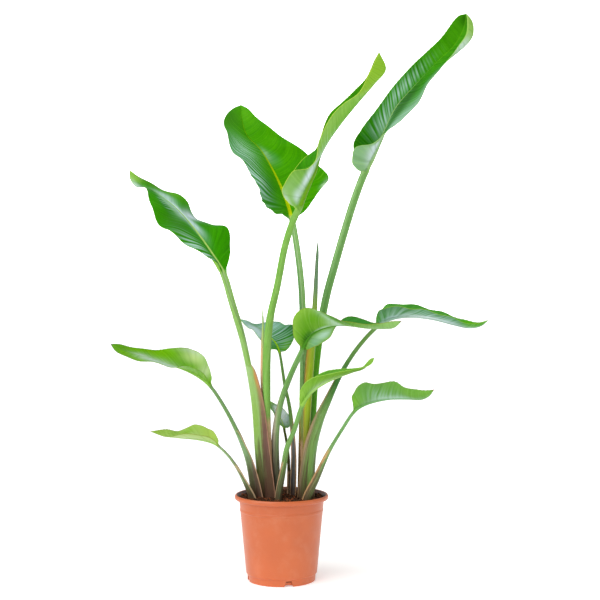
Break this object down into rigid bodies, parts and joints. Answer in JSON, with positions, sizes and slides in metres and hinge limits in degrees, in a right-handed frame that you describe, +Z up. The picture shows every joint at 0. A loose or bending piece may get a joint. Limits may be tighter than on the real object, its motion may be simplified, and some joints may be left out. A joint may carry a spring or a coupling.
{
  "type": "potted bird of paradise",
  "caption": "Tall potted bird of paradise: long-stalked paddle leaves with waved edges rise in clumps from the soil of a round nursery pot.",
  "frame": {"origin": "middle of the pot's foot, on the surface that it stands on", "axes": "+Z up along the pot's axis and the plant's height, +X to the right and +Y away from the viewer in the front view"},
  "size_m": [0.7387, 0.3308, 1.1935],
  "materials": {
    "leaf": "satin, ribbed across the blade, with a paler underside and stalk",
    "young_leaf": "satin, light yellow-green",
    "rolled_leaf": "satin, light green, rolled",
    "pot": "satin moulded terracotta-coloured plastic",
    "soil": "loose fibrous potting soil",
    "crown": "fleshy buried stem"
  },
  "bodies": {
    "root": {"leaf_tall_right": "leaf", "leaf_tall_centre": "leaf", "leaf_tall_left": "leaf", "leaf_upper_left": "leaf", "leaf_low_left": "leaf", "leaf_young_left": "young_leaf", "leaf_arching_right": "leaf", "leaf_cupped_centre": "leaf", "leaf_unfurling_front": "young_leaf", "leaf_low_right": "leaf", "leaf_back_left": "leaf", "leaf_small_back": "leaf", "spear_right_clump": "rolled_leaf", "spear_left_clump": "rolled_leaf", "pot": "pot", "soil": "soil", "crown_left": "crown", "crown_right": "crown"}
  },
  "joints": []
}
